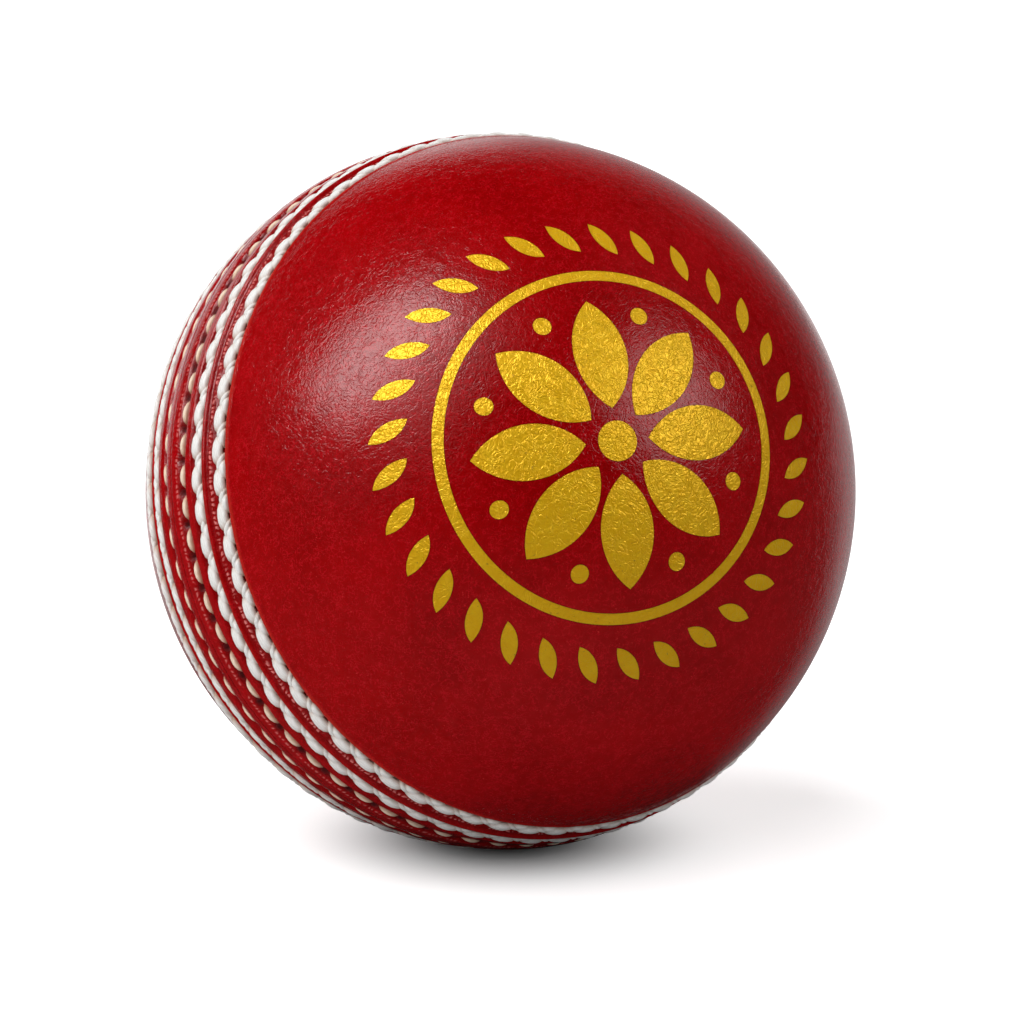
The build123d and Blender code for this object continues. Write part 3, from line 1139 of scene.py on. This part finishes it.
def pale_surroundings(tree, facing):
    """How pale the studio's back looks in reflections, with a wide window in it."""
    behind = away(camera_azimuth + 180, -camera_elevation)
    sweep = ramp(tree, reach_along(tree, facing, behind), 0.5, 1.0)
    sweep = times(tree, maths(tree, "POWER", sweep, 3.0), sweep_strength)
    return plus(tree, sweep, soft_box(tree, facing, **window))


def surroundings():
    """White for the camera, even light, and soft boxes and a pale back for reflections."""
    world = bpy.data.worlds.new("studio")
    world.use_nodes = True
    tree = world.node_tree
    tree.nodes.clear()
    path = add(tree, "ShaderNodeLightPath").outputs
    facing = vector_maths(tree, "NORMALIZE", add(tree, "ShaderNodeTexCoord").outputs["Generated"])
    shine = pale_surroundings(tree, facing)
    for box in (key_box, key_halo, fill_box):
        shine = plus(tree, shine, soft_box(tree, facing, **box))
    shine = times(tree, path["Is Glossy Ray"], shine)
    even = times(tree, path["Is Diffuse Ray"], even_light)
    strength = plus(tree, plus(tree, shine, even), path["Is Camera Ray"])
    light = add(tree, "ShaderNodeBackground", {"Color": (1, 1, 1, 1), "Strength": strength})
    add(tree, "ShaderNodeOutputWorld", {"Surface": light.outputs[0]})
    bpy.context.scene.world = world


def graded(tree, distance, pair):
    """Level at a distance: the sum of two smooth steps."""
    first, second = (smooth_ramp(tree, distance, *step) for step in pair)
    return plus(tree, first, second)


def pointing(tree, vector, azimuth, start, end):
    """1 where a level vector points along an azimuth, fading to 0 to its sides."""
    along = reach_along(tree, vector_maths(tree, "NORMALIZE", vector), away(azimuth, 0))
    return smooth_ramp(tree, along, start, end)


def floor_colour(tree, path, place, level):
    """White to the camera but for a painted shadow close under the ball, and as dim as the ball
    needs in the light that it throws back, with a painted shadow near the ball there too.
    """
    distance = length_of(tree, level)
    card = noise(tree, place, 0.02, detail=2.0)
    white = mixed(tree, card, *floor_whites)
    # painted shadow grey close under the ball
    white = mixed(tree, smooth_ramp(tree, distance, *contact_reach), contact_shadow_grey, white)
    bounce = graded(tree, distance, floor_bounce)
    colour = mixed(tree, path["Is Camera Ray"], combined(tree, bounce, bounce, bounce), white)
    pale = graded(tree, distance, pale_behind)
    pale = times(tree, pale, pointing(tree, level, **pale_way))
    pale = plus(tree, least_pale, pale)
    return mixed(tree, path["Is Glossy Ray"], colour, combined(tree, pale, pale, pale))


def floor_light(tree, path, level):
    """Glow that softens the shadow for the camera, and one that only reflections show."""
    glow = graded(tree, length_of(tree, level), floor_glow)
    glow = times(tree, glow, path["Is Camera Ray"])
    start = away(lit_from_azimuth, 0) * lit_from_distance
    beside = vector_maths(tree, "SUBTRACT", level, tuple(start))
    lit = graded(tree, length_of(tree, beside), lit_behind)
    lit = times(tree, lit, pointing(tree, beside, **lit_way))
    return plus(tree, glow, times(tree, lit, path["Is Glossy Ray"]))


def floor():
    """Wide floor under the ball's lowest point, dark only close to where the ball lies, from its
    cast shadow and a painted one.
    """
    made, tree = new_material("studio_floor")
    path = add(tree, "ShaderNodeLightPath").outputs
    place = in_millimetres(tree)
    level = vector_maths(tree, "MULTIPLY", place, (1, 1, 0))
    paint = add(tree, "ShaderNodeBsdfDiffuse", {"Color": floor_colour(tree, path, place, level)})
    light = add(tree, "ShaderNodeEmission", {"Strength": floor_light(tree, path, level)})
    both = {0: paint.outputs[0], 1: light.outputs[0]}
    finish_material(tree, add(tree, "ShaderNodeAddShader", both))
    mesh = bpy.data.meshes.new("floor")
    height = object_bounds()[0].z
    signs = (-1, -1), (1, -1), (1, 1), (-1, 1)
    corners = [(x * floor_half, y * floor_half, height) for x, y in signs]
    mesh.from_pydata(corners, [], [(0, 1, 2, 3)])
    coat(mesh, made)
    new_object("floor", mesh)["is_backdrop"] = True


def studio():
    """Camera, lamps, surroundings and floor."""
    camera()
    lamp("key", **key_lamp)
    lamp("fill", **fill_lamp)
    surroundings()
    floor()
    bpy.context.scene.view_settings.view_transform = "Standard"


cups(red_leather(), gold_foil())
threads(thread("white_thread", **white_yarn), thread("cream_thread", **cream_yarn))
inside()
studio()
